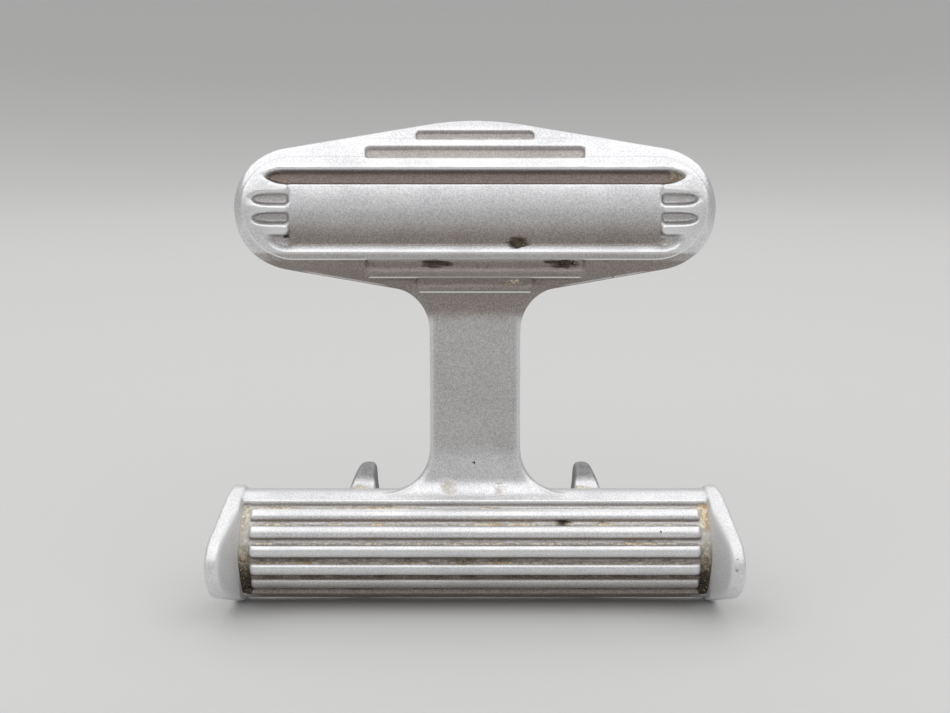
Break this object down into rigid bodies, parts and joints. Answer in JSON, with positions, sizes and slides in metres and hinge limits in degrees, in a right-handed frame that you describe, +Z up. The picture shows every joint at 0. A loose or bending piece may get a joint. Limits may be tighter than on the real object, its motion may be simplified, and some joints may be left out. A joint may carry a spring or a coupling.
{
  "type": "rudder pedal",
  "caption": "Cast rudder pedal with a convex toe pad, ribbed heel bar and side cheeks, tilting on a cross shaft to push a brake rod.",
  "frame": {"origin": "middle of the pivot shaft that the pedal tilts on", "axes": "+X along the pivot shaft, +Z up, the foot presses from the -Y side"},
  "size_m": [0.1524, 0.0648, 0.14],
  "materials": {
    "cast_alloy": "worn casting",
    "bronze": "machined",
    "steel": "ground",
    "plated_steel": "cadmium plated"
  },
  "bodies": {
    "pivot": {"pivot_shaft": "steel", "thrust_washer_left": "bronze", "thrust_washer_right": "bronze", "retaining_ring_left": "steel", "retaining_ring_right": "steel"},
    "pedal": {"pedal_casting": "cast_alloy", "pivot_bush_left": "bronze", "pivot_bush_right": "bronze", "brake_lug_bush": "bronze"},
    "brake_link": {"brake_clevis": "plated_steel", "clevis_pin": "steel", "clevis_washer": "plated_steel", "cotter_pin": "plated_steel"}
  },
  "joints": [
    {"name": "toe_brake_tilt", "type": "hinge", "parent": "pivot", "child": "pedal", "pos_m": [0, 0, 0], "axis": [-1, 0, 0], "range_deg": [0, 25]},
    {"name": "clevis_swing", "type": "hinge", "parent": "pedal", "child": "brake_link", "pos_m": [0, 0.00822, 0.04126], "axis": [1, 0, 0], "range_deg": [-12, 35]}
  ]
}
